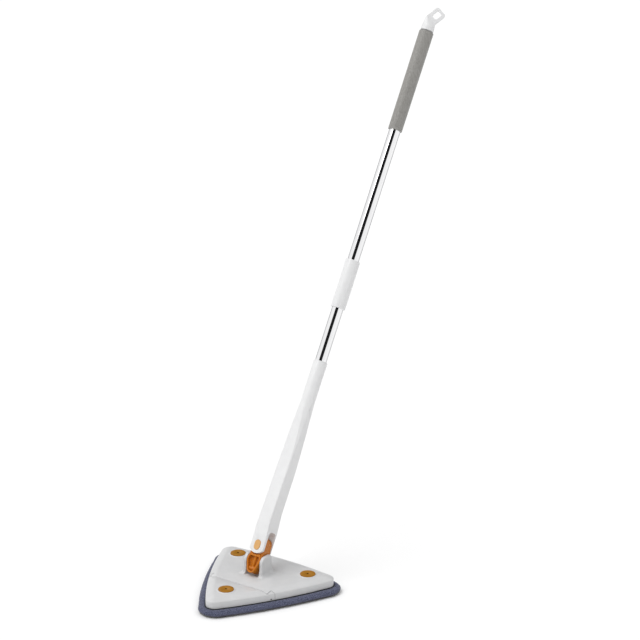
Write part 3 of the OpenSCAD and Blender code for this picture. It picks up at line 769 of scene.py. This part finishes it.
def shapePad(pad):
    # flat where it rests and where the covers press on it, a sewn groove round the side
    mesh = pad.data
    pileShare = mesh.attributes.new("pileShare", "FLOAT", "POINT")
    hookAndShadeShare = mesh.attributes.new("hookAndShadeShare", "FLOAT", "POINT")
    normals = [vert.normal.copy() for vert in mesh.vertices]
    tufts = bpy.data.textures.new("tufts", "CLOUDS")
    tufts.noise_scale = 0.004
    tufts.noise_depth = 2
    for vert, normal in zip(mesh.vertices, normals):
        x, y, z = vert.co / mm
        inside = outlineDistance(x, y)
        level = math.hypot(normal.x, normal.y)
        groove = math.exp(-((z - padShape["seam"]) / padShape["seamWidth"]) ** 2)
        push = 0.0
        if inside < -6:
            push -= padShape["seamDepth"] * groove * level
        vert.co += normal * push * mm
        vert.co.z = min(max(vert.co.z, 0.0), padShape["top"] * mm)
        pileShare.data[vert.index].value = min(max((padShape["seam"] - z) / 1.0 + 0.5, 0), 1)
        # the pad's top is drawn near-black under the covers and for a few mm past their outline:
        # hook fabric underneath, painted shade in the gap outside
        edge = (inside + padShape["shadeBandReach"]) / 1.2
        hookAndShadeShare.data[vert.index].value = min(max(edge, 0), 1) if normal.z > 0.3 else 0.0


def ruffle(pad):
    # small uneven tufts, stronger on the pile than on the knitted side
    group = pad.vertex_groups.new(name="ruffled")
    share = pad.data.attributes["pileShare"].data
    for vert in pad.data.vertices:
        z = vert.co.z / mm
        weight = 0.35 + 0.65 * share[vert.index].value
        if z < 0.4 or z > padShape["top"] - 0.3:
            weight = 0.0
        group.add([vert.index], weight, "REPLACE")
    texture = bpy.data.textures["tufts"]
    makeActive(pad)
    tufts = pad.modifiers.new("tufts", "DISPLACE")
    tufts.texture = texture
    tufts.texture_coords = "LOCAL"
    tufts.strength = padShape["pile"] * mm * 2
    tufts.mid_level = 0.5
    tufts.vertex_group = group.name
    bpy.ops.object.modifier_apply(modifier=tufts.name)
    pad.vertex_groups.clear()


def makePad(looks):
    shape = padShape
    pad = bowedOutline("mopPad", shape["sewnOut"], shape["low"], shape["high"])
    stopEditing()
    makeActive(pad)
    remesh = pad.modifiers.new("skin", "REMESH")
    remesh.mode = "VOXEL"
    remesh.voxel_size = shape["voxel"] * mm
    bpy.ops.object.modifier_apply(modifier=remesh.name)
    simulatePad(pad)
    refinePad(pad)
    shapePad(pad)
    ruffle(pad)
    makeActive(pad)
    bpy.ops.object.shade_smooth()
    useMaterial(pad, looks["fabric"])
    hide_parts("pad_main", "pad_tip")
    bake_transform(pad)
    print("pad made:", len(pad.data.polygons), "faces")


poleLine = {"pivot": 65.0, "lean": 31.3}
polePlace = (Matrix.Translation((0, 0, poleLine["pivot"] * mm))
             @ Matrix.Rotation(-math.radians(poleLine["lean"]), 4, "X"))

connectorShape = {"low": 568.5, "high": 677.5, "tube": 12.5, "outer": 16.2, "edge": 1.6}
gripShape = {"low": 978.5, "high": 1208.5, "tube": 12.5, "lowOuter": 15.6, "highOuter": 16.2,
             "edge": 0.7}


def roundedSleeve(name, low, high, tube, lowOuter, highOuter, edge):
    profile = [(tube, low)]
    for step in range(7):
        angle = math.radians(step * 15)
        profile.append((lowOuter - edge + edge * math.sin(angle),
                        low + edge - edge * math.cos(angle)))
    for step in range(7):
        angle = math.radians(step * 15)
        profile.append((highOuter - edge + edge * math.cos(angle),
                        high - edge + edge * math.sin(angle)))
    profile += [(tube, high), (tube, low)]
    return moveTo(turnShape(name, profile), polePlace)


def makePole(looks):
    shape = connectorShape
    piece = roundedSleeve("tubeConnector", shape["low"], shape["high"], shape["tube"],
                          shape["outer"], shape["outer"], shape["edge"])
    finishPiece(piece, "pole", looks["bright"], "white_plastic", "connector")
    shape = gripShape
    piece = roundedSleeve("softGrip", shape["low"], shape["high"], shape["tube"],
                          shape["lowOuter"], shape["highOuter"], shape["edge"])
    finishPiece(piece, "pole", looks["foam"], "grip_foam", "grip")
    print("pole sleeves made")


sleeveShape = {"flat": 1.0, "edge": 1.3, "sharp": 22}


def makeSleeve(looks):
    sleeve = copyOfNode("longSleeve", "lower_sleeve")
    startEditing(sleeve)
    bpy.ops.mesh.select_all(action="SELECT")
    bpy.ops.mesh.dissolve_limited(angle_limit=math.radians(sleeveShape["flat"]))
    stopEditing()
    soft = sleeve.modifiers.new("soft", "BEVEL")
    soft.limit_method = "ANGLE"
    soft.angle_limit = math.radians(sleeveShape["sharp"])
    soft.width = sleeveShape["edge"] * mm
    soft.segments = 3
    bpy.ops.object.modifier_apply(modifier=soft.name)
    startEditing(sleeve)
    closeMesh(40)
    finishPiece(sleeve, "sleeve", looks["bright"], "white_plastic", "lower_sleeve")


def makeSoftMouldings(looks):
    yoke = copyOfNode("tiltYoke", "yoke")
    softMoulding(yoke, 0.62, 3)
    finishPiece(yoke, "yoke", looks["orange"], "orange_plastic", "yoke")
    loop = copyOfNode("hangingLoop", "hanger")
    softMoulding(loop, 0.6, 8)
    finishPiece(loop, "hanger", looks["bright"], "white_plastic", "hanger")
    makeSleeve(looks)
    print("yoke and loop made:", len(yoke.data.polygons), len(loop.data.polygons))


nodeLooks = {"chrome": "chrome", "steel": "steel", "white_plastic": "white", "base_plastic": "pale",
             "orange_plastic": "orange", "disc_plastic": "disc", "button_plastic": "button",
             "grip_foam": "foam", "ring_rubber": "rubber", "hook_tape": "hooks",
             "pad_fabric": "fabric"}


def dressNodes(looks):
    for entry in frame["record"]["subparts"]:
        useMaterial(nodes[entry["node"]], looks[nodeLooks[entry["material_slot"]]])
    # these white pieces take the lighter, painted-light copy of the white plastic
    for name in ("guide_bush", "tube_foot"):
        useMaterial(nodes[name], looks["bright"])
    useMaterial(nodes["flap_hinge_pins"], looks["rubber"])


makeCamera()
makeWorld()
makeStage()
print("camera, light and floor ready")
looks = makeMaterials()
dressNodes(looks)
print("materials ready")
makeHead(looks)
makePad(looks)
makePole(looks)
makeSoftMouldings(looks)
